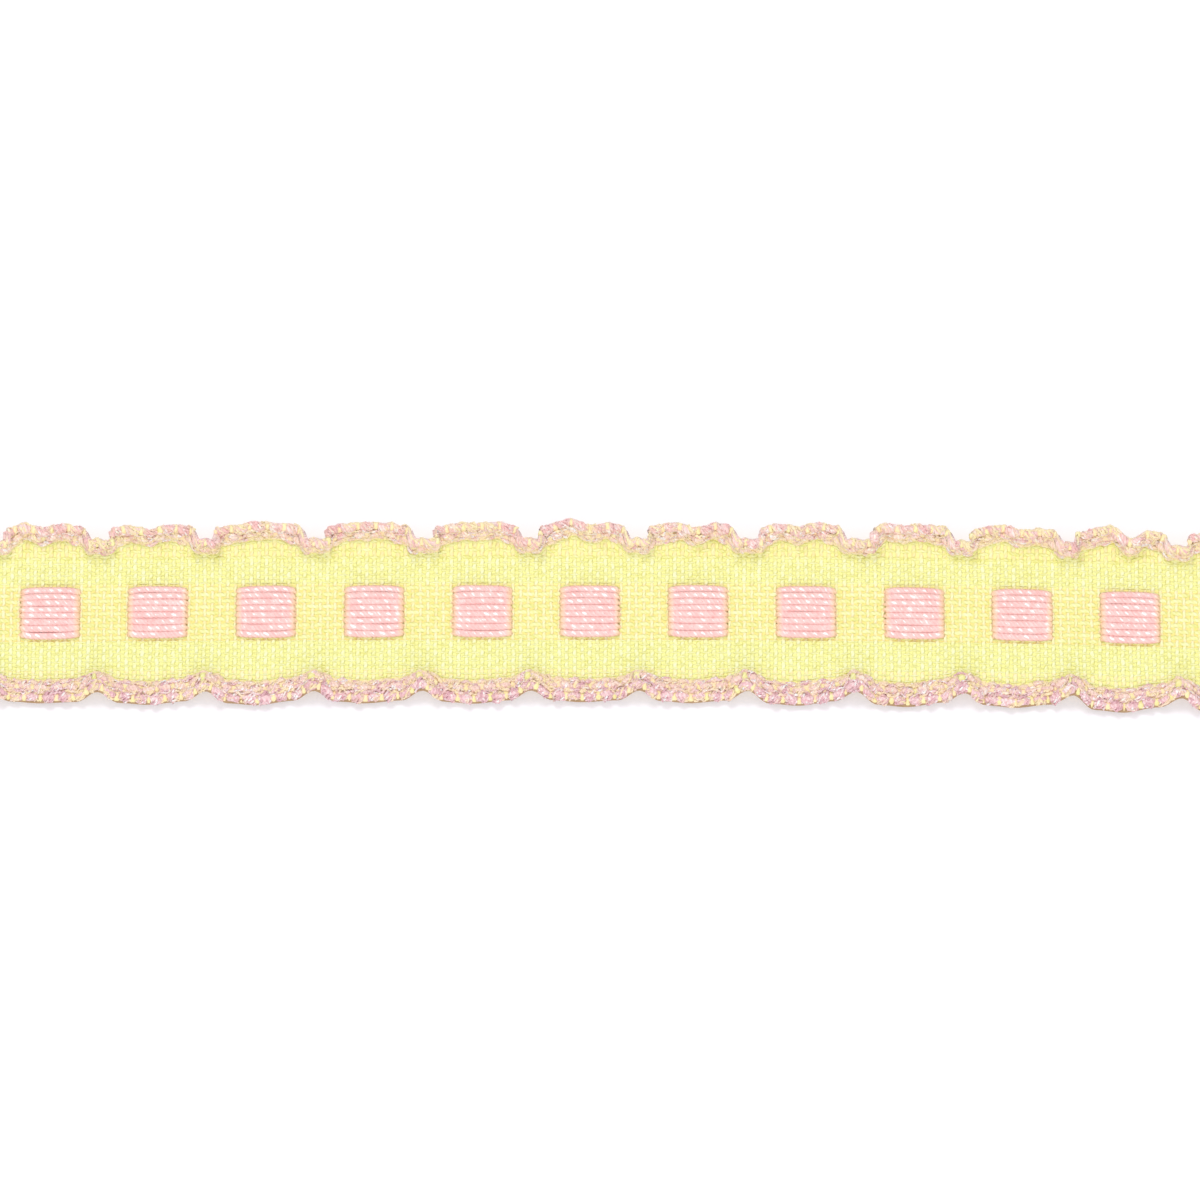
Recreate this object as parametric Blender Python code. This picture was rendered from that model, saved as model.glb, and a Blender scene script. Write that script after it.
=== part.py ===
"""A cut length of narrow woven ribbon with a ruffled edging down both sides.

The ribbon lies flat on its back along X. Its woven band carries one raised block of floating
pink yarns in each repeat. The far edging (+Y) is rolled up and over in two lobes for each
repeat, and the near edging (-Y) lies open in one scallop for each repeat. Both edgings are
drawn in between the blocks. All lengths are in metres, and +Z is up.
"""

import math
from collections import namedtuple

import bmesh
import bpy

MM = 0.001

# The repeat of the weave: one pink block, one scallop and seven pairs of edging stitches
REPEAT = 9.1 * MM
REPEATS = 13
LENGTH = REPEAT * REPEATS
STITCHES = 14

# The band, woven as one sheet. Beyond its flat middle it rises to both selvedges
BAND_THICKNESS = 1.0 * MM
FLAT_HALF = 3.4 * MM
BAND_COLUMNS = 3

# The edging: a strip of stitches from the band's selvedge to a rim of knots
EDGING_WIDTH = 1.5 * MM
EDGING_ROOT_HALF = 0.38 * MM
KNOT_HALF = 0.50 * MM
BETWEEN_KNOTS_HALF = 0.34 * MM
EDGING_COLUMNS = 4

# The pink blocks: yarns that float over the face of the band, in a shallow bed
FLOAT_YARNS = 8
FLOAT_PITCH = 0.53 * MM
BLOCK_LENGTH = 4.9 * MM
BLOCK_WIDTH = FLOAT_YARNS * FLOAT_PITCH
BLOCK_BOTTOM = 0.75 * MM
BLOCK_VALLEY = 1.08 * MM
BLOCK_CROWN = 1.32 * MM
BLOCK_END_DROP = 0.16 * MM
BLOCK_END_RUN = 0.40 * MM

# Pieces that meet stay this far apart
GAP = 0.3 * MM

# The ribbon bends a little towards -Y at both ends, more at the right one
BEND_RIGHT = 1.0 * MM
BEND_LEFT = 0.3 * MM
BEND_POWER = 2.3

# The blocks' middle line at the middle of the ribbon, which centres the ribbon on its origin
MIDDLE_LINE = 0.47 * MM

# The cut ends are square, so what slides along the ribbon fades out over this length
END_RUN = 1.5 * MM

# One row for each fold in one repeat. phase: its place in the repeat, which runs from midway
# between two blocks. root: the selvedge's distance from the middle line, mm. rise and roll:
# the slope of the edging at its root and at its rim, degrees, where 90 stands up and 180 has
# rolled right over. lean: how far the rim slides along X, mm.
Fold = namedtuple("Fold", "name phase root rise roll lean")
FAR_FOLDS = (
    Fold("wall", 0.035, 5.14, 30, 96, 0.10),
    Fold("shoulder", 0.11, 5.80, 24, 62, -0.42),
    Fold("first", 0.30, 6.30, 20, 82, -0.30),
    Fold("dip", 0.45, 6.00, 24, 70, 0.00),
    Fold("second", 0.61, 6.34, 20, 88, 0.20),
    Fold("late", 0.76, 5.92, 21, 62, 0.25),
    Fold("fall", 0.865, 5.14, 30, 96, 0.10),
)
NEAR_FOLDS = (
    Fold("flare", 0.17, 5.86, 4, -6, -0.12),
    Fold("belly", 0.42, 6.02, 2, -4, 0.00),
    Fold("gather", 0.74, 5.74, 4, -6, 0.12),
    Fold("notch", 0.955, 5.22, 32, 12, 0.00),
)
Uneven = namedtuple("Uneven", "wall lobes first dip second belly")
UNEVEN = (
    Uneven(0.00, 0.00, 0.00, 0.10, 0.05, 0.00),
    Uneven(0.05, -0.03, 0.15, -0.10, 0.05, -0.20),
    Uneven(0.02, -0.04, -0.15, -0.25, -0.05, 0.00),
    Uneven(-0.02, -0.03, -0.15, 0.30, 0.05, 0.08),
    Uneven(0.02, -0.04, -0.05, 0.25, 0.05, -0.05),
    Uneven(0.02, 0.03, -0.05, 0.20, 0.05, 0.00),
    Uneven(-0.01, 0.05, 0.35, 0.00, 0.00, -0.13),
    Uneven(0.00, 0.03, 0.00, -0.20, 0.00, -0.05),
    Uneven(0.04, -0.02, 0.00, -0.15, 0.10, 0.12),
    Uneven(0.08, -0.05, 0.10, 0.10, 0.00, 0.14),
    Uneven(-0.01, 0.04, 0.10, -0.10, -0.20, 0.05),
    Uneven(-0.04, 0.05, 0.20, -0.70, -0.10, 0.25),
    Uneven(0.00, 0.00, 0.00, 0.05, 0.00, 0.10),
)
SHIFTED_BY = {"wall": "wall", "shoulder": "wall", "first": "lobes", "dip": "lobes", "second": "lobes"}
FURTHER_BY = {"first": "first", "dip": "dip", "second": "second", "flare": "belly", "belly": "belly"}

Shape = namedtuple("Shape", "root rise roll lean")


def fold_line(folds):
    """Every fold of one edge as (place along X, Shape), uneven as the repeats are."""
    line = []
    for number in range(-1, REPEATS + 1):
        uneven = UNEVEN[number % REPEATS]
        for fold in folds:
            shift = getattr(uneven, SHIFTED_BY.get(fold.name, ""), 0.0)
            further = getattr(uneven, FURTHER_BY.get(fold.name, ""), 0.0)
            place = (number + fold.phase + shift) * REPEAT - LENGTH / 2
            root = (fold.root + further) * MM
            slopes = math.radians(fold.rise), math.radians(fold.roll)
            line.append((place, Shape(root, *slopes, fold.lean * MM)))
    return line


def ease(share):
    """A smooth step from 0 to 1."""
    share = min(1.0, max(0.0, share))
    return share * share * (3 - 2 * share)


def shape_at(line, x):
    """The edge's shape at x, easing from one fold to the next."""
    for (x0, before), (x1, after) in zip(line, line[1:]):
        if x <= x1:
            t = ease((x - x0) / (x1 - x0))
            return Shape(*(p + (q - p) * t for p, q in zip(before, after)))
    return line[-1][1]


def middle_line(x):
    """The Y of the blocks' middle line at x."""
    most = BEND_RIGHT if x > 0 else BEND_LEFT
    return MIDDLE_LINE - most * (abs(x) / (LENGTH / 2)) ** BEND_POWER


def band_height(shape, across):
    """The height of the band's middle surface at a distance across from the middle line.

    It climbs as a cube, so that at the selvedge it has the edging's own slope.
    """
    run = shape.root - FLAT_HALF
    share = max(0.0, (across - FLAT_HALF) / run)
    return BAND_THICKNESS / 2 + math.tan(shape.rise) * run / 3 * share**3


def edging_point(shape, share):
    """The edging's middle line at a share of the way to its rim: (across, height, slope)."""
    turn = shape.roll - shape.rise
    slope = shape.rise + turn * share
    radius = EDGING_WIDTH / turn
    across = shape.root + radius * (math.sin(slope) - math.sin(shape.rise))
    climb = radius * (math.cos(shape.rise) - math.cos(slope))
    return across, band_height(shape, shape.root) + climb, slope


def material(name, colour, roughness):
    """A plain cloth material of one colour."""
    made = bpy.data.materials.new(name)
    made.use_nodes = True
    shader = made.node_tree.nodes["Principled BSDF"]
    shader.inputs["Base Color"].default_value = (*colour, 1)
    shader.inputs["Roughness"].default_value = roughness
    shader.inputs["Metallic"].default_value = 0
    return made


def skin(name, rings, surface=None):
    """An object with the skin over a row of closed rings, capped at both ends."""
    mesh = bmesh.new()
    rows = [[mesh.verts.new(point) for point in ring] for ring in rings]
    for one, other in zip(rows, rows[1:]):
        for i in range(len(one)):
            j = (i + 1) % len(one)
            mesh.faces.new((one[i], one[j], other[j], other[i]))
    mesh.faces.new(reversed(rows[0]))
    mesh.faces.new(rows[-1])
    bmesh.ops.recalc_face_normals(mesh, faces=mesh.faces)
    data = bpy.data.meshes.new(name)
    mesh.to_mesh(data)
    mesh.free()
    if surface:
        data.materials.append(surface)
    made = bpy.data.objects.new(name, data)
    bpy.context.scene.collection.objects.link(made)
    return made


def stations(count):
    """Evenly spaced places along X, from cut end to cut end."""
    return [-LENGTH / 2 + LENGTH * i / count for i in range(count + 1)]


def build_band(far_line, near_line, surface):
    """The woven band: flat down the middle, rising to both selvedges."""
    rings = []
    for x in stations(REPEATS * STITCHES):
        upper, lower = [], []
        for side, line in ((-1, near_line), (1, far_line)):
            shape = shape_at(line, x)
            for i in range(BAND_COLUMNS):
                share = i / (BAND_COLUMNS - 1)
                across = FLAT_HALF + (shape.root - GAP - FLAT_HALF) * share
                height = band_height(shape, across)
                y = middle_line(x) + side * across
                upper.append((x, y, height + BAND_THICKNESS / 2))
                lower.append((x, y, height - BAND_THICKNESS / 2))
        upper.sort(key=lambda point: point[1])
        lower.sort(key=lambda point: -point[1])
        rings.append(upper + lower)
    return skin("woven_band", rings, surface)


def build_edging(name, side, line, surface):
    """One edging: a strip of stitches with a thicker knot at every second place on its rim."""
    rings = []
    for number, x in enumerate(stations(REPEATS * STITCHES)):
        shape = shape_at(line, x)
        fade = ease((LENGTH / 2 - abs(x)) / END_RUN)
        rim_half = KNOT_HALF if number % 2 else BETWEEN_KNOTS_HALF
        upper, lower = [], []
        for i in range(EDGING_COLUMNS):
            share = i / (EDGING_COLUMNS - 1)
            across, height, slope = edging_point(shape, share)
            half = EDGING_ROOT_HALF + (rim_half - EDGING_ROOT_HALF) * ease(share)
            tilt = slope * ease(3 * share)
            along = x + shape.lean * fade * share
            for row, sign in ((upper, 1), (lower, -1)):
                y = middle_line(x) + side * (across - sign * half * math.sin(tilt))
                row.append((along, y, max(0.0, height + sign * half * math.cos(tilt))))
        nose_across = across + rim_half * math.cos(slope)
        nose_height = max(rim_half, height + rim_half * math.sin(slope))
        nose = (x + shape.lean * fade, middle_line(x) + side * nose_across, nose_height)
        rings.append(upper + [nose] + lower[::-1])
    edging = skin(name, rings, surface)
    edging.data.shade_smooth()
    edging.data.set_sharp_from_angle(angle=math.radians(50))


def build_block(number, surface):
    """One pink block: a ridge for each yarn that floats over the band."""
    middle = (number + 0.5) * REPEAT - LENGTH / 2
    inner = BLOCK_LENGTH / 2 - BLOCK_END_RUN
    rings = []
    for along in (-BLOCK_LENGTH / 2, -inner, inner, BLOCK_LENGTH / 2):
        x = middle + along
        drop = BLOCK_END_DROP if abs(along) > inner else 0.0
        low, high = middle_line(x) - BLOCK_WIDTH / 2, middle_line(x) + BLOCK_WIDTH / 2
        ring = []
        for i in range(2 * FLOAT_YARNS + 1):
            top = BLOCK_CROWN if i % 2 else BLOCK_VALLEY
            ring.append((x, low + i * FLOAT_PITCH / 2, top - drop))
        rings.append(ring + [(x, high, BLOCK_BOTTOM), (x, low, BLOCK_BOTTOM)])
    return skin(f"pink_block_{number + 1:02d}", rings, surface)


def build_bed_cutter(number):
    """A cutter for the shallow bed in the band under one pink block."""
    middle = (number + 0.5) * REPEAT - LENGTH / 2
    length, width = BLOCK_LENGTH + 2 * GAP, BLOCK_WIDTH + 2 * GAP
    floor, top = BLOCK_BOTTOM - GAP, 2 * BAND_THICKNESS
    rings = []
    for x in (middle - length / 2, middle + length / 2):
        low, high = middle_line(x) - width / 2, middle_line(x) + width / 2
        rings.append([(x, low, floor), (x, high, floor), (x, high, top), (x, low, top)])
    cutter = skin(f"bed_cutter_{number + 1:02d}", rings)
    cutter.hide_render = True
    cutter.display_type = "WIRE"
    return cutter


def cut(target, cutter):
    """Takes the cutter's shape out of the target."""
    modifier = target.modifiers.new(cutter.name, "BOOLEAN")
    modifier.operation = "DIFFERENCE"
    modifier.object = cutter


def main():
    for old in list(bpy.data.objects):
        bpy.data.objects.remove(old)
    yellow = material("yellow_weave", (0.93, 0.91, 0.40), 0.75)
    melange = material("pink_and_yellow_stitches", (0.84, 0.57, 0.54), 0.8)
    pink = material("pink_float_yarn", (0.95, 0.66, 0.65), 0.5)
    far_line, near_line = fold_line(FAR_FOLDS), fold_line(NEAR_FOLDS)
    band = build_band(far_line, near_line, yellow)
    build_edging("far_ruffle", 1, far_line, melange)
    build_edging("near_ruffle", -1, near_line, melange)
    for number in range(REPEATS):
        build_block(number, pink)
        cut(band, build_bed_cutter(number))


main()
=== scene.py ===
"""The looks of a cut length of ruffled ribbon: every yarn of its weave laid on the ribbon's folds.

The ribbon is one plain weave. Crosswise yellow wefts pass over and under fine yellow warps in
the band and thick pink warps in the two edgings, where they turn around the rim. Eight pink
yarns float over the face in each block and behind the band between blocks.

Sides are 1 for the far one (+Y) and -1 for the near one.
"""

import math
from collections import namedtuple

import bpy
import numpy as np
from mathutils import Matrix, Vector


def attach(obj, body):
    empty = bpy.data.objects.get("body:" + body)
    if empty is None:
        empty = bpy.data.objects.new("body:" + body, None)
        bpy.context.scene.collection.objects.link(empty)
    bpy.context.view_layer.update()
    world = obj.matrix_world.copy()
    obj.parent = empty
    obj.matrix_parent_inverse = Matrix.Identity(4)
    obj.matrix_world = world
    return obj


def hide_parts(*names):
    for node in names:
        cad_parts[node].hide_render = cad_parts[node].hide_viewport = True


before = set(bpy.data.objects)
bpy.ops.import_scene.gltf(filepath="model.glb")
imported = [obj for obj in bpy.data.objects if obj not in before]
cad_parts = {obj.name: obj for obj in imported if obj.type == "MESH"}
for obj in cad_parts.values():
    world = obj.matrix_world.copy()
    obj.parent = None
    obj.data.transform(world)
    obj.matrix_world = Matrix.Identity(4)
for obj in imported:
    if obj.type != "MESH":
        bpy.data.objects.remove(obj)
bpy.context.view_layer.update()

MM = 0.001
rng = np.random.default_rng(7)

# The ribbon's own sizes, as in the part
REPEAT = 9.1 * MM
REPEATS = 13
LENGTH = REPEAT * REPEATS
STITCHES = 14
FLAT_HALF = 3.4 * MM
EDGING_WIDTH = 1.5 * MM
BEND_RIGHT = 1.0 * MM
BEND_LEFT = 0.3 * MM
BEND_POWER = 2.3
MIDDLE_LINE = 0.47 * MM
END_RUN = 1.5 * MM

# The folds of one repeat and how they vary, as in the part
Fold = namedtuple("Fold", "name phase root rise roll lean")
FAR_FOLDS = (
    Fold("wall", 0.035, 5.14, 30, 96, 0.10),
    Fold("shoulder", 0.11, 5.80, 24, 62, -0.42),
    Fold("first", 0.30, 6.30, 20, 82, -0.30),
    Fold("dip", 0.45, 6.00, 24, 70, 0.00),
    Fold("second", 0.61, 6.34, 20, 88, 0.20),
    Fold("late", 0.76, 5.92, 21, 62, 0.25),
    Fold("fall", 0.865, 5.14, 30, 96, 0.10),
)
NEAR_FOLDS = (
    Fold("flare", 0.17, 5.86, 4, -6, -0.12),
    Fold("belly", 0.42, 6.02, 2, -4, 0.00),
    Fold("gather", 0.74, 5.74, 4, -6, 0.12),
    Fold("notch", 0.955, 5.22, 32, 12, 0.00),
)
Uneven = namedtuple("Uneven", "wall lobes first dip second belly")
UNEVEN = (
    Uneven(0.00, 0.00, 0.00, 0.10, 0.05, 0.00),
    Uneven(0.05, -0.03, 0.15, -0.10, 0.05, -0.20),
    Uneven(0.02, -0.04, -0.15, -0.25, -0.05, 0.00),
    Uneven(-0.02, -0.03, -0.15, 0.30, 0.05, 0.08),
    Uneven(0.02, -0.04, -0.05, 0.25, 0.05, -0.05),
    Uneven(0.02, 0.03, -0.05, 0.20, 0.05, 0.00),
    Uneven(-0.01, 0.05, 0.35, 0.00, 0.00, -0.13),
    Uneven(0.00, 0.03, 0.00, -0.20, 0.00, -0.05),
    Uneven(0.04, -0.02, 0.00, -0.15, 0.10, 0.12),
    Uneven(0.08, -0.05, 0.10, 0.10, 0.00, 0.14),
    Uneven(-0.01, 0.04, 0.10, -0.10, -0.20, 0.05),
    Uneven(-0.04, 0.05, 0.20, -0.70, -0.10, 0.25),
    Uneven(0.00, 0.00, 0.00, 0.05, 0.00, 0.10),
)
SHIFTED_BY = {
    "wall": "wall", "shoulder": "wall", "first": "lobes", "dip": "lobes", "second": "lobes",
}
FURTHER_BY = {
    "first": "first", "dip": "dip", "second": "second", "flare": "belly", "belly": "belly",
}

# The weave. The cloth's own width is measured from the middle line, and its selvedges are at
# SELVEDGE before the edging draws them in. WIDE and HIGH are half sizes
PICK = REPEAT / STITCHES
PICKS = REPEATS * STITCHES
SELVEDGE = 5.9 * MM
STRAIGHT_HALF = 4.7 * MM
CLOTH_HEIGHT = 0.60 * MM
WEFT_WIDE = 0.215 * MM
WEFT_HIGH = 0.115 * MM
WEFT_CRIMP = 0.045 * MM
NARROW_WEFT = 0.78
EDGING_WEFT = 1.25
EDGING_LIFT = 0.08 * MM
EDGING_BETWEEN = 0.07 * MM
WARP_HIGH = 0.10 * MM
WARP_CRIMP = 0.095 * MM

# One weft a repeat lies on top of the near edging: from where to where past the selvedge, and how
# much higher, wider and less tinted it is there
MARK_FROM = 0.3 * MM
MARK_TO = 1.3 * MM
MARK = (0.20 * MM, 0.02 * MM, -0.55)

# A weft turns round a rim through these angles, in degrees. Its tint there, and its tint between
# the warps of the middle strip and past LAST_ROWS
RIM_ANGLES = (25, 50, 75, 100, 130)
RIM_TINT = 0.6
BARE_TINT = 0.55

# The warps. The middle strip holds MIDDLE_WARPS on each side of the one on the middle line. The
# others lie in groups of (first one's place, pitch, how many). Past LAST_ROWS the far side's are
# thicker and lie further apart
STRIP_HALF = 2.4 * MM
MIDDLE_WARPS = 4
MIDDLE_PITCH = 0.53 * MM
MIDDLE_WIDE = 0.205 * MM
OUTER_WIDE = 0.085 * MM
LAST_WIDE = 0.15 * MM
LAST_ROWS = 4.7 * MM
WARP_GROUPS = {
    1: ((2.60 * MM, 0.345 * MM, 6), (4.78 * MM, 0.50 * MM, 3)),
    -1: ((2.48 * MM, 0.35 * MM, 8), (5.32 * MM, 0.36 * MM, 2)),
}

# The two-ply pink yarns that float over seven wefts and run behind the next seven
FLOATS = 8
FLOAT_RISE = 0.36 * MM
FLOAT_SINK = 0.34 * MM
FLOAT_CROWN = 0.05 * MM
FLOAT_HALF = 3.45 * PICK
FLOAT_DIVE = 0.70 * PICK
FLOAT_STEP = 0.145 * MM
PLY_HALF = 0.155 * MM
PLY_OFFSET = 0.125 * MM
PLY_TURN = 1.5 * MM
CORE_WIDE = 0.33 * MM
CORE_LIFT = 0.08 * MM

# How far the floats spread in the middle of a block and draw in again at its ends, how much lower
# the outer ones lie, and where along their reach they turn peach
FLOAT_SPREAD = 1.045
FLOAT_GATHER = 0.075
FLOAT_SHOULDER = 0.4
PEACH_FROM = 0.86
PEACH_RUN = 0.2

# The pink warps of an edging, from the selvedge out: how far out, how many strands, the half
# sizes of the bundle and of one strand, how far it rises and sinks, how peach it is and how light
Cord = namedtuple("Cord", "out strands bundle strand crimp peach shade")
EDGE_CORDS = (
    Cord(0.16 * MM, 4, 0.13 * MM, 0.110 * MM, 0.13 * MM, 0.60, 0.12),
    Cord(0.64 * MM, 8, 0.32 * MM, 0.110 * MM, 0.18 * MM, 0.36, 0.12),
    Cord(1.39 * MM, 9, 0.34 * MM, 0.115 * MM, 0.18 * MM, 0.04, -0.24),
)

# A strand goes once round its bundle every CORD_TURN. The bundle is an oval, CORD_WIDE by
# CORD_HIGH times its own size, around a core that is CORE_PAST larger than that size
CORD_TURN = 1.9 * MM
CORD_LIFT = 0.05 * MM
CORD_WIDE = 1.1
CORD_HIGH = 0.8
CORE_PAST = 0.08 * MM
RIM = EDGE_CORDS[-1].out

# Knobbly single yarns between those warps: how far each lies from the selvedge, and its half size
STRAYS = (0.32 * MM, 0.90 * MM, 1.00 * MM, 1.10 * MM)
STRAY_HALF = 0.12 * MM

# How the edgings differ. fuzz: how ragged the strands are. least: a bundle's share of its size
# between knots. bulge: how far a knot pushes the outermost bundle out. cream: how much more peach
# each bundle is, from the selvedge out. notch: how much that grows where the edging is drawn in.
# turn and wide: how far a weft goes round the rim, and its half width there. gutter: how far the
# ground reaches past the selvedge. pad and deep: how much thicker it is there, above and below
Edging = namedtuple("Edging", "fuzz least bulge cream notch turn wide gutter pad deep")
EDGINGS = {
    1: Edging(
        fuzz=0.14, least=0.60, bulge=0.24 * MM, cream=(0.25, 0.55, 0.62), notch=1.0,
        turn=0.22 * MM, wide=0.25 * MM, gutter=1.66 * MM, pad=0.24 * MM, deep=0.08 * MM,
    ),
    -1: Edging(
        fuzz=0.22, least=0.70, bulge=0.06 * MM, cream=(0.25, 0.25, 0.16), notch=3.0,
        turn=0.31 * MM, wide=0.26 * MM, gutter=1.89 * MM, pad=0.20 * MM, deep=0.19 * MM,
    ),
}

# How far the band's ground reaches above and below the middle of the cloth
GROUND_TOP = 0.02 * MM
GROUND_BOTTOM = 0.10 * MM

# How fine the meshes are along the ribbon: the ground's steps in a repeat, and the warps' and the
# edgings' in a pick
GROUND_STEPS = 28
WARP_STEPS = 2
EDGING_STEPS = 5

# The looks of each kind of yarn. dark and light: the ends of its colour range, which also give
# it a little painted shade between its plies and painted light on them. speck: its painted glints.
# tinted: where the mesh's tint is 1. plies: how many, wound round it once every turn mm.
# relief: how strongly they stand out. cloud: how fine its uneven colour is
Yarn = namedtuple("Yarn", "dark light speck tinted roughness plies turn relief cloud")
YARNS = {
    "yellow_yarn": Yarn(
        dark=(0.79, 0.765, 0.24), light=(0.88, 0.875, 0.44), speck=(0.90, 0.91, 0.56),
        tinted=(1.0, 0.78, 0.48), roughness=0.5, plies=2, turn=0.9, relief=0.4, cloud=1500,
    ),
    "pink_yarn": Yarn(
        dark=(0.925, 0.51, 0.49), light=(0.965, 0.645, 0.62), speck=(1.0, 0.94, 0.94),
        tinted=(0.98, 0.66, 0.45), roughness=0.33, plies=3, turn=1.2, relief=0.4, cloud=1500,
    ),
    "mauve_yarn": Yarn(
        dark=(0.80, 0.45, 0.50), light=(0.97, 0.70, 0.72), speck=(1.0, 0.97, 0.96),
        tinted=(1.0, 0.80, 0.51), roughness=0.35, plies=3, turn=0.8, relief=0.5, cloud=4500,
    ),
    # Lighter mauve for the far edging: partly its creamier colour, partly painted light on the far
    # crest
    "pale_lit_mauve_yarn": Yarn(
        dark=(0.92, 0.54, 0.53), light=(1.0, 0.78, 0.75), speck=(1.0, 0.97, 0.96),
        tinted=(1.0, 0.84, 0.52), roughness=0.35, plies=3, turn=0.8, relief=0.5, cloud=4500,
    ),
}

# How fine the fibre of the yarns, that of the ground and the grain of the paper are, and how deep
# the first two are
YARN_FIBRE = 9000
GROUND_FIBRE = 7000
PAPER_GRAIN = 900
YARN_RELIEF = 0.06 * MM
GROUND_RELIEF = 0.05 * MM

# The ground's colours: in the band, over the sunk pink yarns, in the edgings, and a brown
# painted shade under the near rim. Then the paper's, and how much light it gives
GROUND_YELLOW = (0.91, 0.88, 0.36)
GROUND_GOLD = (0.91, 0.77, 0.28)
GROUND_PEACH = (0.95, 0.78, 0.52)
GROUND_PAINTED_SHADE = (0.42, 0.27, 0.15)
PAPER_STOPS = ((0.0, (0.785, 0.77, 0.82)), (1.0, (0.805, 0.79, 0.84)))
PAPER_GLOW = 0.20

# The photograph's frame: its width at the ribbon, and how far its centre lies from the middle
# block's
VIEW_WIDTH = 101.1 * MM
VIEW_RIGHT = 0.84 * MM
VIEW_UP = 0.93 * MM
VIEW_TILT = math.radians(15)
VIEW_DISTANCE = 0.6
CLOTH_TOP = 1.0 * MM

# The lamps: a key from the far side, and a fill that is low on the near side
Lamp = namedtuple("Lamp", "name place size power")
LAMPS = (
    Lamp("key", (-0.10, 0.36, 0.70), 0.25, 2.0),
    Lamp("low_fill", (0.05, -0.64, 0.33), 0.6, 1.9),
)
WORLD_STRENGTH = 0.81


def fold_line(folds):
    """Every fold of one edge as (place along X, root, rise, roll, lean)."""
    line = []
    for number in range(-1, REPEATS + 1):
        uneven = UNEVEN[number % REPEATS]
        for fold in folds:
            shift = getattr(uneven, SHIFTED_BY.get(fold.name, ""), 0.0)
            further = getattr(uneven, FURTHER_BY.get(fold.name, ""), 0.0)
            place = (number + fold.phase + shift) * REPEAT - LENGTH / 2
            slopes = math.radians(fold.rise), math.radians(fold.roll)
            line.append((place, (fold.root + further) * MM, *slopes, fold.lean * MM))
    return np.array(line)


def ease(share):
    """A smooth step from 0 to 1."""
    share = np.clip(share, 0.0, 1.0)
    return share * share * (3 - 2 * share)


LINES = {1: fold_line(FAR_FOLDS), -1: fold_line(NEAR_FOLDS)}


def shape_at(side, x):
    """One edge's root, rise, roll and lean at every x, easing from one fold to the next."""
    line = LINES[side]
    after = np.clip(np.searchsorted(line[:, 0], x), 1, len(line) - 1)
    x0, x1 = line[after - 1, 0], line[after, 0]
    t = ease((x - x0) / (x1 - x0))[:, None]
    return (line[after - 1, 1:] * (1 - t) + line[after, 1:] * t).T


def middle_line(x):
    """The Y of the blocks' middle line at x."""
    most = np.where(x > 0, BEND_RIGHT, BEND_LEFT)
    return MIDDLE_LINE - most * (np.abs(x) / (LENGTH / 2)) ** BEND_POWER


def lay(s, v, h):
    """Points of the ribbon, and its normals there.

    s runs along it, v is the cloth's own distance across from the middle line, and h is the
    height above the middle of the cloth.
    """
    s, v, h = np.broadcast_arrays(np.asarray(s, float), v, h)
    side = np.where(v >= 0, 1.0, -1.0)
    far, near = shape_at(1, s), shape_at(-1, s)
    root, rise, roll, lean = np.where(side > 0, far, near)
    out = np.abs(v)
    drawn = (root - STRAIGHT_HALF) / (SELVEDGE - STRAIGHT_HALF)
    across = np.where(out < STRAIGHT_HALF, out, STRAIGHT_HALF + (out - STRAIGHT_HALF) * drawn)
    across = np.minimum(across, root)
    climb = np.maximum(0.0, (across - FLAT_HALF) / (root - FLAT_HALF))
    height = CLOTH_HEIGHT + np.tan(rise) * (root - FLAT_HALF) / 3 * climb**3
    slope = np.arctan(np.tan(rise) * climb**2)
    share = np.clip((out - SELVEDGE) / EDGING_WIDTH, 0.0, 1.0)
    turn = roll - rise
    radius = EDGING_WIDTH / turn
    on_edging = out > SELVEDGE
    slope = np.where(on_edging, rise + turn * share, slope)
    across = np.where(on_edging, root + radius * (np.sin(slope) - np.sin(rise)), across)
    height = np.where(on_edging, height + radius * (np.cos(rise) - np.cos(slope)), height)
    past = np.maximum(0.0, out - SELVEDGE - EDGING_WIDTH)
    across = across + past * np.cos(slope) - h * np.sin(slope)
    height = height + past * np.sin(slope) + h * np.cos(slope)
    fade = ease((LENGTH / 2 - np.abs(s)) / END_RUN)
    points = np.stack((s + lean * fade * share, middle_line(s) + side * across, height), axis=-1)
    normals = np.stack((np.zeros_like(s), -side * np.sin(slope), np.cos(slope)), axis=-1)
    return points, normals


def wander(places, size, every):
    """A smooth random curve over the places, up to about size, with a bend every so far."""
    place = (places - places.min()) / every
    values = rng.normal(0.0, size / 2, int(place.max()) + 2)
    before = place.astype(int)
    share = ease(place - before)
    return values[before] * (1 - share) + values[before + 1] * share


def new_piece(name, points, faces, uv, surface):
    """A mesh object with its UV map and its material."""
    mesh = bpy.data.meshes.new(name)
    mesh.from_pydata(points, [], faces)
    mesh.uv_layers.new(name="along").data.foreach_set("uv", uv.ravel())
    mesh.materials.append(surface)
    made = bpy.data.objects.new(name, mesh)
    bpy.context.scene.collection.objects.link(made)
    return made


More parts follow.
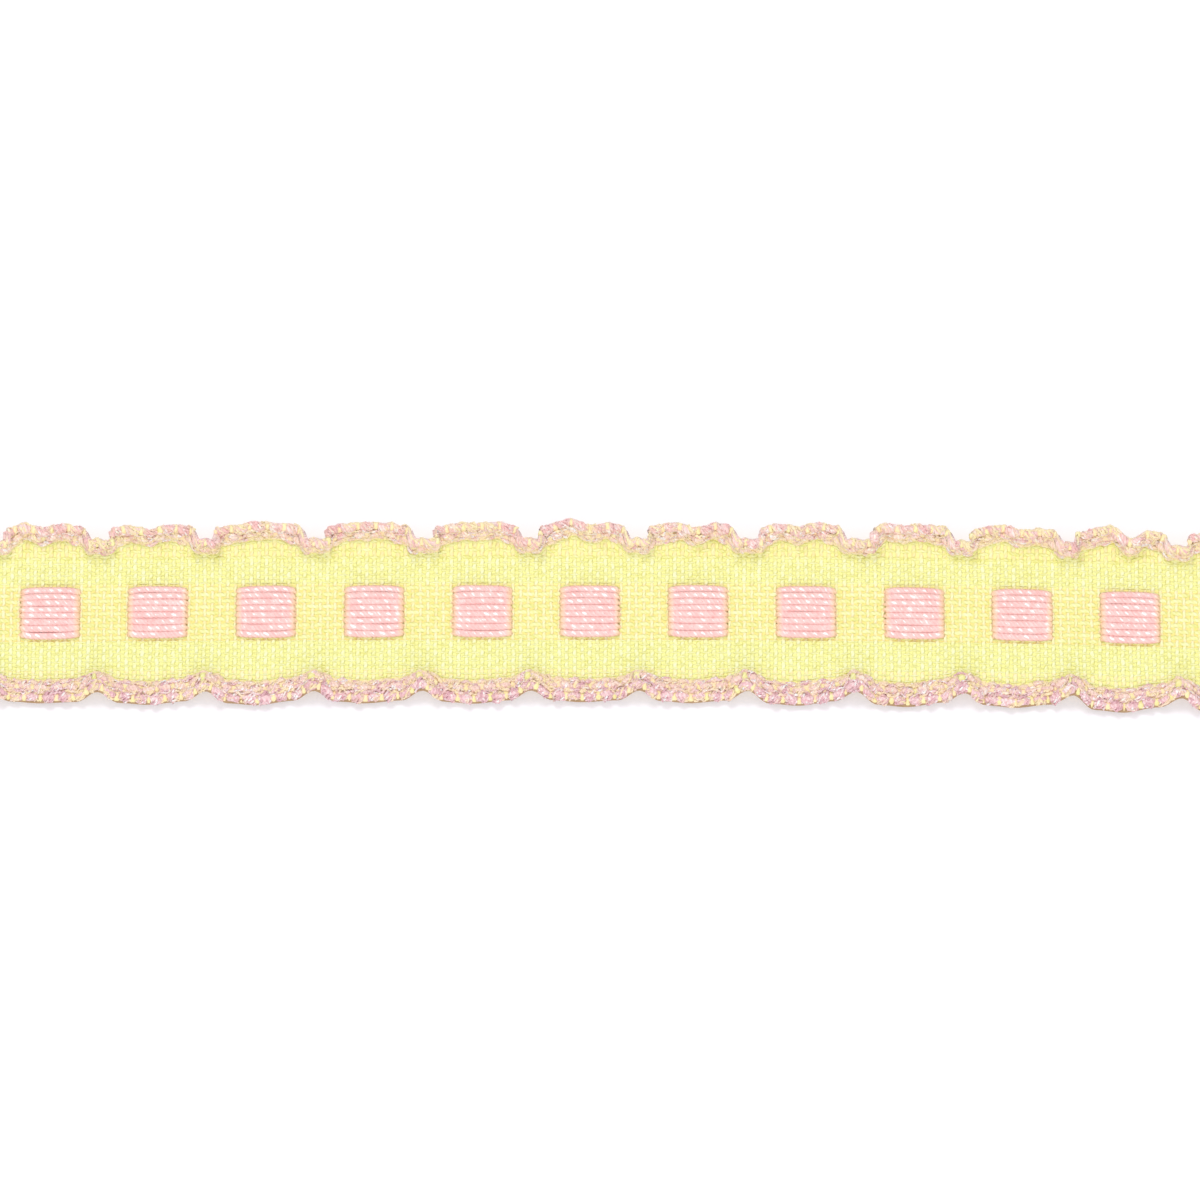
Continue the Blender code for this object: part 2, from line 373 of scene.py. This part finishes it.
class Yarns:
    """Many yarns gathered into one mesh, with their length and turn in a UV map."""

    def __init__(self, sides):
        self.sides = sides
        self.points, self.faces, self.uvs, self.shades, self.tints = [], [], [], [], []
        self.count = 0

    def add(self, path, up, wide, high, shade=0.0, tint=0.0, across=None):
        """One yarn along the path: an oval of half sizes wide and high, its high side to up.

        A yarn that turns around a rim gives the way its width lies, across, in place of up.
        """
        along = np.gradient(path, axis=0)
        along /= np.linalg.norm(along, axis=1, keepdims=True)
        if across is None:
            across = np.cross(up, along)
        else:
            across = across - along * (along @ across)[:, None]
        across /= np.linalg.norm(across, axis=1, keepdims=True)
        up = np.cross(along, across)
        n = self.sides
        turn = 2 * np.pi * np.arange(n) / n
        wide = np.broadcast_to(wide, len(path))[:, None, None]
        high = np.broadcast_to(high, len(path))[:, None, None]
        rings = path[:, None] + across[:, None] * np.cos(turn)[None, :, None] * wide
        rings = rings + up[:, None] * np.sin(turn)[None, :, None] * high
        ring, i = np.meshgrid(np.arange(len(path) - 1), np.arange(n), indexing="ij")
        j = (i + 1) % n
        quads = np.stack((ring * n + i, ring * n + j, (ring + 1) * n + j, (ring + 1) * n + i), -1)
        far = np.concatenate(([0.0], np.cumsum(np.linalg.norm(np.diff(path, axis=0), axis=1))))
        far = far / MM
        u0, u1 = i / n, (i + 1) / n
        uv = np.stack((u0, far[ring], u1, far[ring], u1, far[ring + 1], u0, far[ring + 1]), -1)
        caps, last = [], (len(path) - 1) * n
        for k in range(n // 2 - 1):
            caps.append((k, n - 1 - k, n - 2 - k, k + 1))
            caps.append((last + k, last + k + 1, last + n - 2 - k, last + n - 1 - k))
        self.points.append(rings.reshape(-1, 3))
        self.faces.append(np.concatenate((quads.reshape(-1, 4), caps)) + self.count)
        self.uvs.append(np.concatenate((uv.reshape(-1, 8), np.zeros((len(caps), 8)))))
        self.shades.append(np.broadcast_to(shade, len(path)).repeat(n))
        self.tints.append(np.broadcast_to(tint, len(path)).repeat(n))
        self.count += rings.shape[0] * n

    def make(self, name, surface):
        """The gathered yarns as one smooth object."""
        points, faces = np.concatenate(self.points), np.concatenate(self.faces)
        made = new_piece(name, points, faces, np.concatenate(self.uvs), surface)
        for label, values in (("shade", self.shades), ("tint", self.tints)):
            layer = made.data.attributes.new(label, "FLOAT", "POINT")
            layer.data.foreach_set("value", np.concatenate(values).astype(np.float32))
        made.data.shade_smooth()
        return made


class Surface:
    """A new material, with short calls for the nodes that the surfaces here are made of."""

    def __init__(self, name, roughness):
        self.material = bpy.data.materials.new(name)
        self.material.use_nodes = True
        self.nodes = self.material.node_tree.nodes
        self.links = self.material.node_tree.links
        self.shader = self.nodes["Principled BSDF"]
        self.shader.inputs["Roughness"].default_value = roughness

    def feed(self, socket, value):
        """Give a socket a number, a colour or another node's output."""
        if isinstance(value, (int, float)):
            socket.default_value = value
        elif isinstance(value, tuple):
            socket.default_value = (*value, 1)
        else:
            self.links.new(value, socket)

    def math(self, operation, *values):
        """A Math node on sockets or numbers."""
        node = self.nodes.new("ShaderNodeMath")
        node.operation = operation
        for socket, value in zip(node.inputs, values):
            self.feed(socket, value)
        return node.outputs[0]

    def along(self):
        """The piece's own UV map, as its two numbers."""
        uv = self.nodes.new("ShaderNodeUVMap")
        uv.uv_map = "along"
        parts = self.nodes.new("ShaderNodeSeparateXYZ")
        self.links.new(uv.outputs[0], parts.inputs[0])
        return parts.outputs["X"], parts.outputs["Y"]

    def attribute(self, name):
        """A number that the mesh carries at each point."""
        node = self.nodes.new("ShaderNodeAttribute")
        node.attribute_name = name
        return node.outputs["Fac"]

    def noise(self, scale, detail=2):
        """Noise of that scale on the object's own coordinates."""
        place = self.nodes.new("ShaderNodeTexCoord")
        node = self.nodes.new("ShaderNodeTexNoise")
        node.inputs["Scale"].default_value = scale
        node.inputs["Detail"].default_value = detail
        self.links.new(place.outputs["Object"], node.inputs["Vector"])
        return node.outputs[0]

    def ramp(self, value, stops):
        """A colour ramp over stops of (position, colour)."""
        node = self.nodes.new("ShaderNodeValToRGB")
        elements = node.color_ramp.elements
        for element, (position, _) in zip(elements, stops):
            element.position = position
        for position, _ in stops[2:]:
            elements.new(position)
        for element, (_, colour) in zip(elements, stops):
            element.color = (*colour, 1)
        self.links.new(value, node.inputs[0])
        return node.outputs[0]

    def mix(self, share, one, other):
        """The colour one, and as much of the other as the share says."""
        node = self.nodes.new("ShaderNodeMix")
        node.data_type = "RGBA"
        self.links.new(share, node.inputs[0])
        self.feed(node.inputs[6], one)
        self.feed(node.inputs[7], other)
        return node.outputs[2]

    def bump(self, height, strength, distance):
        """Small relief on the surface."""
        node = self.nodes.new("ShaderNodeBump")
        node.inputs["Strength"].default_value = strength
        node.inputs["Distance"].default_value = distance
        self.links.new(height, node.inputs["Height"])
        self.links.new(node.outputs[0], self.shader.inputs["Normal"])


def yarn_material(name):
    """Twisted yarn, with fine fibre between its plies.

    Its colour goes from dark to light to speck with the plies, which paint a little shade between
    them, a cloudy noise and the mesh's shade, whose lighter part is a painted highlight mostly
    along the yarn's top crest, and then towards tinted with its tint.
    """
    yarn = YARNS[name]
    surface = Surface(name, yarn.roughness)
    around, far = surface.along()
    wound = surface.math("MULTIPLY", surface.math("DIVIDE", far, yarn.turn), yarn.plies)
    phase = surface.math("SUBTRACT", surface.math("MULTIPLY", around, yarn.plies), wound)
    ply = surface.math("SINE", surface.math("MULTIPLY", phase, 2 * math.pi))
    fibre = surface.math("MULTIPLY", surface.noise(YARN_FIBRE, 3), 1.2)
    surface.bump(surface.math("ADD", ply, fibre), yarn.relief, YARN_RELIEF)
    # Painted highlight: the lighter part of the mesh's shade shows mostly along the yarn's top
    # crest
    crest = surface.math("SINE", surface.math("MULTIPLY", around, 2 * math.pi))
    crest = surface.math("POWER", surface.math("MAXIMUM", crest, 0.3), 1.8)
    shade = surface.attribute("shade")
    lit = surface.math("MULTIPLY", surface.math("MAXIMUM", shade, 0.0), crest)
    mixed = surface.math("ADD", surface.math("MULTIPLY", ply, 0.12), surface.noise(yarn.cloud))
    mixed = surface.math("ADD", mixed, surface.math("MINIMUM", shade, 0.0))
    mixed = surface.math("ADD", mixed, lit)
    colour = surface.ramp(mixed, ((0.25, yarn.dark), (0.70, yarn.light), (0.92, yarn.speck)))
    colour = surface.mix(surface.attribute("tint"), colour, yarn.tinted)
    surface.feed(surface.shader.inputs["Base Color"], colour)
    surface.shader.inputs["Sheen Weight"].default_value = 0.2
    surface.shader.inputs["Sheen Roughness"].default_value = 0.4
    return surface.material


def warp_rows(groups):
    """The places of the warps on one side, from the middle line out."""
    rows = [k * MIDDLE_PITCH for k in range(MIDDLE_WARPS + 1)]
    for first, pitch, count in groups:
        rows += [first + k * pitch for k in range(count)]
    return rows


ROWS = {side: warp_rows(groups) for side, groups in WARP_GROUPS.items()}


def over(row, pick):
    """1 where the warp of that row lies over that pick, and -1 where it lies under."""
    return 1 - 2 * ((row + pick) % 2)


def crimp(s, row):
    """The wave of a warp along the ribbon: 1 on top of a weft and -1 underneath."""
    pick = (s + LENGTH / 2) / PICK
    nearest = np.round(pick)
    return over(row, nearest.astype(int)) * np.cos(np.pi * (pick - nearest))


def build_warps(surface):
    """The fine yellow warps of the band, with painted light where they come up."""
    yarns = Yarns(6)
    rows = [(place, row) for row, place in enumerate(ROWS[1])]
    rows += [(-place, -row) for row, place in enumerate(ROWS[-1]) if row]
    s = np.linspace(-LENGTH / 2, LENGTH / 2, PICKS * WARP_STEPS + 1)
    for place, row in rows:
        last = place > LAST_ROWS
        wide = MIDDLE_WIDE if abs(row) <= MIDDLE_WARPS else OUTER_WIDE
        wide = LAST_WIDE if last else wide
        wave = crimp(s, row)
        v = place + wander(s, 0.03 * MM, 1.1 * MM)
        h = wave * WARP_CRIMP + wander(s, 0.012 * MM, PICK)
        path, up = lay(s, v, h)
        # Painted light: a warp is lighter where it comes up over a weft
        shade = 0.04 - 0.12 * last + 0.10 * wave
        shade = shade + rng.normal(0, 0.04) + wander(s, 0.10, 2.0 * MM)
        yarns.add(path, up, wide, min(wide, WARP_HIGH), shade)
    return yarns.make("warp_yarns", surface)


def weft_wide(row, out):
    """A weft's half width at a row: narrow in the middle strip and wide in the edging."""
    if row <= MIDDLE_WARPS:
        return WEFT_WIDE * NARROW_WEFT
    return WEFT_WIDE if out < 0 else WEFT_WIDE * EDGING_WEFT


def weft_side(pick, side):
    """Half of one weft from the middle line out: how far across, how high, how wide and how tinted.

    Where it lies over the outermost pink warp it turns around the rim, and where it lies under
    that warp it ends there.
    """
    places = ROWS[side] + [SELVEDGE + cord.out for cord in EDGE_CORDS]
    rises = [WEFT_CRIMP] * len(ROWS[side]) + [cord.crimp for cord in EDGE_CORDS]
    rows = []
    for row, (place, rise) in enumerate(zip(places, rises)):
        out = place - SELVEDGE
        lift = -over(row * side, pick) * rise
        if out > 0 and lift > 0:
            lift += EDGING_LIFT
        wide = weft_wide(row, out)
        tint = 0.0 if out < 0 else 1.0 - 0.3 * out / EDGING_WIDTH
        rows.append((place, lift, wide, tint))
        if row + 1 < len(places):
            halfway = (place + places[row + 1]) / 2
            shown = BARE_TINT if row <= MIDDLE_WARPS or place > LAST_ROWS else tint
            rows.append((halfway, 0.0 if out < 0 else EDGING_BETWEEN, wide, shown))
    if lift > 0:
        for degrees in RIM_ANGLES:
            angle = math.radians(degrees)
            around = place + EDGINGS[side].turn * math.sin(angle)
            rows.append((around, lift * math.cos(angle), EDGINGS[side].wide, RIM_TINT))
    rows = np.array(rows).T
    if side < 0 and pick % STITCHES == STITCHES - 1:
        mark = (rows[0] > SELVEDGE + MARK_FROM) & (rows[0] < SELVEDGE + MARK_TO)
        rows[1:, mark] += np.array(MARK)[:, None]
    return rows


def build_wefts(surface):
    """The yellow wefts, which cross the band and turn around both rims."""
    yarns = Yarns(6)
    for pick in range(PICKS + 1):
        # The first and last wefts lie just inside the cut ends
        at = -LENGTH / 2 + pick * PICK
        at += 0.3 * PICK * ((pick == 0) - (pick == PICKS))
        far, near = weft_side(pick, 1), weft_side(pick, -1)
        v = np.concatenate((-near[0, :0:-1], far[0]))
        h, wide, tint = (np.concatenate((near[k, :0:-1], far[k])) for k in (1, 2, 3))
        places = np.linspace(0, 1, len(v))
        s = at + wander(places, 0.05 * MM, 0.12) + wander(places, 0.02 * MM, 0.03)
        s = np.clip(s, -LENGTH / 2 + WEFT_WIDE, LENGTH / 2 - WEFT_WIDE)
        path, up = lay(s, v, h)
        in_band = np.abs(v) < SELVEDGE
        # Painted light: a weft is paler where it comes up over the warps. In the edgings it is
        # lighter on the far side as painted light and darker on the near side as painted shade
        band_shade = 0.24 + 0.04 * h / WEFT_CRIMP - 0.25 * (v > LAST_ROWS)
        shade = np.where(in_band, band_shade, np.where(v > 0, 0.2, -0.1))
        shade = shade + rng.normal(0, 0.05) + wander(places, 0.12, 0.05)
        band_wide = rng.uniform(0.93, 1.07)
        edging_wide = rng.uniform(0.6, 1.1) + wander(places, 0.5, 0.03)
        wide = wide * np.where(in_band, band_wide, edging_wide)
        uneven = rng.normal(0, 0.15) + wander(places, 0.3, 0.02)
        tint = np.clip(tint + uneven * ~in_band, 0, 1)
        yarns.add(path, up, wide, WEFT_HIGH, shade, tint, across=np.array((-1.0, 0.0, 0.0)))
    return yarns.make("weft_yarns", surface)


def build_floats(surface):
    """The pink two-ply yarns, over the face in each block and behind the band between blocks."""
    yarns = Yarns(6)
    s = np.arange(-LENGTH / 2, LENGTH / 2, FLOAT_STEP)
    from_block = (s + LENGTH / 2) % REPEAT - REPEAT / 2
    for number in range(FLOATS):
        place = (number - (FLOATS - 1) / 2) * MIDDLE_PITCH
        reach = FLOAT_HALF + wander(s, 0.05 * MM, REPEAT)
        sunk = ease((np.abs(from_block) - reach) / FLOAT_DIVE)
        crown = FLOAT_CROWN * (1 - (2 * from_block / REPEAT / 0.8) ** 2)
        rise = FLOAT_RISE * (1 - FLOAT_SHOULDER * (2 * number / (FLOATS - 1) - 1) ** 4)
        h = (rise + crown) * (1 - sunk) - FLOAT_SINK * sunk + wander(s, 0.03 * MM, 2.5 * MM)
        pull = FLOAT_SPREAD - FLOAT_GATHER * np.clip(np.abs(from_block) / FLOAT_HALF, 0, 1.1) ** 4
        v = place * pull + wander(s, 0.03 * MM, 2.2 * MM)
        twist = 2 * np.pi * s / PLY_TURN + rng.uniform(0, 2 * np.pi) + wander(s, 1.4, 2.4 * MM)
        peach = ease((np.abs(from_block) / reach - PEACH_FROM) / PEACH_RUN)
        for ply in (0.0, np.pi):
            # Painted light: each ply is lighter where it lies on top, with a painted glint along
            # its crest, and darker where it lies under
            turned = np.sin(twist + ply)
            dv, dh = PLY_OFFSET * np.cos(twist + ply), PLY_OFFSET * turned
            path, up = lay(s, v + dv, h + dh)
            glint = 0.74 * np.clip(turned, 0, 1) ** 3 * (1 + wander(s, 0.7, 0.8 * MM))
            shade = 0.16 * turned + glint - 0.38 + rng.normal(0, 0.04)
            shade = shade + wander(s, 0.15, 1.2 * MM)
            yarns.add(path, up, PLY_HALF, PLY_HALF, shade, peach)
        for block in range(REPEATS):
            from_middle = np.abs(s + LENGTH / 2 - (block + 0.5) * REPEAT)
            inside = from_middle < FLOAT_HALF + 0.5 * FLOAT_DIVE
            core_peach = ease((from_middle[inside] / FLOAT_HALF - PEACH_FROM) / PEACH_RUN)
            path, up = lay(s[inside], v[inside], h[inside] + CORE_LIFT)
            yarns.add(path, up, CORE_WIDE, PLY_HALF, -0.03, core_peach)
    return yarns.make("pink_float_yarns", surface)


def build_edging(name, side, surface):
    """The thick pink warps of one edging, each a bundle of strands that swells into knots."""
    yarns = Yarns(4)
    edging = EDGINGS[side]
    s = np.linspace(-LENGTH / 2, LENGTH / 2, PICKS * EDGING_STEPS + 1)
    root = shape_at(side, s)[0]
    drawn = (root.max() - root) / (root.max() - root.min())
    paled = 0.6 + edging.notch * drawn**2
    for number, cord in enumerate(EDGE_CORDS):
        row = (len(ROWS[side]) + number) * side
        up_share = 1 - ((1 - crimp(s, row)) / 2) ** 1.7
        knot = edging.least + (1 - edging.least) * up_share
        knot = knot * (1 + wander(s, 0.25, PICK))
        v = SELVEDGE + cord.out + wander(s, 0.10 * MM, PICK)
        if cord is EDGE_CORDS[-1]:
            v += edging.bulge * (up_share - 0.15)
        h = (2 * up_share - 1) * cord.crimp + CORD_LIFT
        start = rng.uniform(0, 2 * np.pi)
        patch, dim = wander(s, 1.3, 0.75 * MM), wander(s, 0.35, 0.75 * MM)
        low = 0.6 - up_share
        for strand in range(cord.strands):
            turn = 2 * np.pi * (s / CORD_TURN + strand / cord.strands)
            turn = turn + start + wander(s, 2.2, 0.6 * MM)
            loose = 1 + wander(s, 0.35, 0.3 * MM) + rng.normal(0, edging.fuzz, len(s))
            loose = cord.bundle * knot * np.clip(loose, 0.5, 1.4)
            place = v + CORD_WIDE * loose * np.cos(turn)
            along = s + wander(s, 0.08 * MM, 0.4 * MM)
            path, up = lay(along, side * place, h + CORD_HIGH * loose * np.sin(turn))
            thick = cord.strand * (1 + rng.normal(0, 0.5 * edging.fuzz, len(s)))
            shade = cord.shade + dim + 0.2 * low + (-0.22, 0.0, 0.2)[strand % 3]
            shade = shade + wander(s, 0.3, 0.4 * MM) + rng.normal(0, 0.15, len(s))
            # Painted glints: white specks scattered along each strand
            shade += 1.2 * (rng.random(len(s)) < 0.18)
            peach = cord.peach + edging.cream[number] * paled + 0.7 * low + patch
            peach = np.clip(peach + wander(s, 0.7, 0.45 * MM), 0, 1)
            yarns.add(path, up, thick, thick, shade, peach)
        path, up = lay(s[::2], side * v[::2], h[::2])
        core = (cord.bundle + CORE_PAST) * knot[::2]
        yarns.add(path, up, core, core, wander(s[::2], 0.25, 0.7 * MM), cord.peach)
    for out in STRAYS:
        v = SELVEDGE + out + wander(s, 0.26 * MM, 0.4 * MM)
        h = 0.20 * MM + 0.1 * out + wander(s, 0.16 * MM, 0.4 * MM)
        path, up = lay(s, side * v, h)
        thick = STRAY_HALF * rng.uniform(0.3, 1.7, len(s))
        # Painted glints: white specks scattered along each stray yarn
        shade = 0.05 + wander(s, 0.4, 0.3 * MM) + 0.8 * (rng.random(len(s)) < 0.15)
        peach = np.clip(0.35 + wander(s, 1.3, 0.5 * MM), 0, 1)
        yarns.add(path, up, thick, thick, shade, peach)
    return yarns.make(name, surface)


def ground_half(side):
    """Places across one half of the ground, from the middle line to past the selvedge."""
    band = np.linspace(0, SELVEDGE - 0.3 * MM, 15)
    edging = SELVEDGE + np.linspace(-0.1 * MM, EDGINGS[side].gutter, 15)
    return np.concatenate((band, edging))


def build_ground(surface):
    """The ground of the cloth, which fills between its yarns and backs the edgings' pink warps."""
    half = np.concatenate((-ground_half(-1)[:0:-1], ground_half(1)))
    gutter, padding, deep = (
        np.where(half > 0, getattr(EDGINGS[1], name), getattr(EDGINGS[-1], name))
        for name in ("gutter", "pad", "deep")
    )
    out = np.abs(half) - SELVEDGE
    pad = ease((out + 0.2 * MM) / (0.5 * MM))
    lip = ease((out - RIM) / (gutter - RIM)) ** 2
    top = GROUND_TOP + padding * pad - (padding + GROUND_TOP) * lip
    bottom = -GROUND_BOTTOM - deep * pad + GROUND_BOTTOM * lip
    across = np.concatenate((half, half[::-1]))
    height = np.concatenate((top, bottom[::-1]))
    along = np.linspace(-LENGTH / 2, LENGTH / 2, REPEATS * GROUND_STEPS + 1)
    s, v = np.meshgrid(along, across, indexing="ij")
    points, _ = lay(s.ravel(), v.ravel(), np.tile(height, len(along)))
    n = len(across)
    i, j = np.meshgrid(np.arange(len(along) - 1), np.arange(n), indexing="ij")
    corner, beside = (i * n + j).ravel(), (i * n + (j + 1) % n).ravel()
    faces = np.stack((corner, corner + n, beside + n, beside), -1)
    k = np.arange(n // 2 - 1)
    start = np.stack((k, k + 1, n - 2 - k, n - 1 - k), -1)
    faces = np.concatenate((faces, start, start[:, ::-1] + (len(along) - 1) * n))
    uv = np.stack((s.ravel() / MM, v.ravel() / MM), -1)[faces.ravel()]
    made = new_piece("woven_ground", points, faces, uv, surface)
    bpy.ops.object.select_all(action="DESELECT")
    bpy.context.view_layer.objects.active = made
    made.select_set(True)
    bpy.ops.object.shade_smooth_by_angle(angle=math.radians(50))
    return made


def ground_material():
    """Shadowed yellow fibre, peach in the edgings and a brown painted shade under the near rim.

    In the middle strip the gold of the sunk pink yarns shows through in stripes.
    """
    surface = Surface("ground_fibre", 0.85)
    _, across = surface.along()
    out = surface.math("ABSOLUTE", across)
    middle = surface.math("LESS_THAN", out, STRIP_HALF / MM)
    wave = surface.math("MULTIPLY", across, 2 * math.pi / (MIDDLE_PITCH / MM))
    between = surface.math("LESS_THAN", surface.math("COSINE", wave), 0.3)
    sunk = surface.math("MULTIPLY", middle, between)
    colour = surface.mix(sunk, GROUND_YELLOW, GROUND_GOLD)
    edging = surface.math("GREATER_THAN", out, SELVEDGE / MM)
    colour = surface.mix(edging, colour, GROUND_PEACH)
    # A brown painted shade on the near side's lip, under the rim
    lip = surface.math("LESS_THAN", across, -(SELVEDGE + RIM) / MM - 0.1)
    colour = surface.mix(lip, colour, GROUND_PAINTED_SHADE)
    surface.feed(surface.shader.inputs["Base Color"], colour)
    surface.bump(surface.noise(GROUND_FIBRE), 0.5, GROUND_RELIEF)
    return surface.material


def floor_material():
    """Smooth matt white paper, lit a little from below as on a light table."""
    surface = Surface("white_paper", 0.9)
    colour = surface.ramp(surface.noise(PAPER_GRAIN), PAPER_STOPS)
    surface.feed(surface.shader.inputs["Base Color"], colour)
    surface.shader.inputs["Specular IOR Level"].default_value = 0.1
    surface.shader.inputs["Emission Color"].default_value = (1, 1, 1, 1)
    surface.shader.inputs["Emission Strength"].default_value = PAPER_GLOW
    return surface.material


def build_stage():
    """A white floor, the two lamps and a bright white world."""
    bpy.ops.object.select_all(action="DESELECT")
    bpy.ops.mesh.primitive_plane_add(size=3, location=(0, 0, 0))
    floor = bpy.context.object
    floor.name = "floor"
    floor.data.materials.append(floor_material())
    for lamp in LAMPS:
        data = bpy.data.lights.new(lamp.name, "AREA")
        data.size = lamp.size
        data.energy = lamp.power
        made = bpy.data.objects.new(lamp.name, data)
        made.location = lamp.place
        made.rotation_euler = (-Vector(lamp.place)).to_track_quat("-Z", "Y").to_euler()
        bpy.context.scene.collection.objects.link(made)
    world = bpy.data.worlds.new("studio")
    world.use_nodes = True
    background = world.node_tree.nodes["Background"]
    background.inputs["Color"].default_value = (1, 1, 1, 1)
    background.inputs["Strength"].default_value = WORLD_STRENGTH
    bpy.context.scene.world = world
    bpy.context.scene.view_settings.view_transform = "Standard"


def build_camera():
    """The camera: nearly straight above, leaning a little towards the near side."""
    data = bpy.data.cameras.new("camera")
    data.sensor_width = 36
    data.lens = data.sensor_width * VIEW_DISTANCE / VIEW_WIDTH
    data.clip_start = 0.01
    camera = bpy.data.objects.new("camera", data)
    target = Vector((VIEW_RIGHT, MIDDLE_LINE + VIEW_UP / math.cos(VIEW_TILT), CLOTH_TOP))
    back = Vector((0, -math.sin(VIEW_TILT), math.cos(VIEW_TILT)))
    camera.location = target + back * VIEW_DISTANCE
    camera.rotation_euler = (VIEW_TILT, 0, 0)
    bpy.context.scene.collection.objects.link(camera)
    bpy.context.scene.camera = camera


def main():
    """The stage, the camera and the ribbon, whose yarns all ride on its one body."""
    build_stage()
    build_camera()
    yellow, pink, mauve, pale_lit_mauve = (yarn_material(name) for name in YARNS)
    ground = build_ground(ground_material())
    warps = build_warps(yellow)
    wefts = build_wefts(yellow)
    floats = build_floats(pink)
    # The far edging takes the lighter mauve, which is partly painted light
    far = build_edging("far_edging_yarns", 1, pale_lit_mauve)
    near = build_edging("near_edging_yarns", -1, mauve)
    for piece, slot in (
        (ground, "yellow_weave"),
        (warps, "yellow_weave"),
        (wefts, "yellow_weave"),
        (floats, "pink_yarn"),
        (far, "melange_stitches"),
        (near, "melange_stitches"),
    ):
        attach(piece, "root")
    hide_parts("woven_band")
    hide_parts("far_ruffle")
    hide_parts("near_ruffle")
    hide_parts(*[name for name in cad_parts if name.startswith("pink_block")])


main()
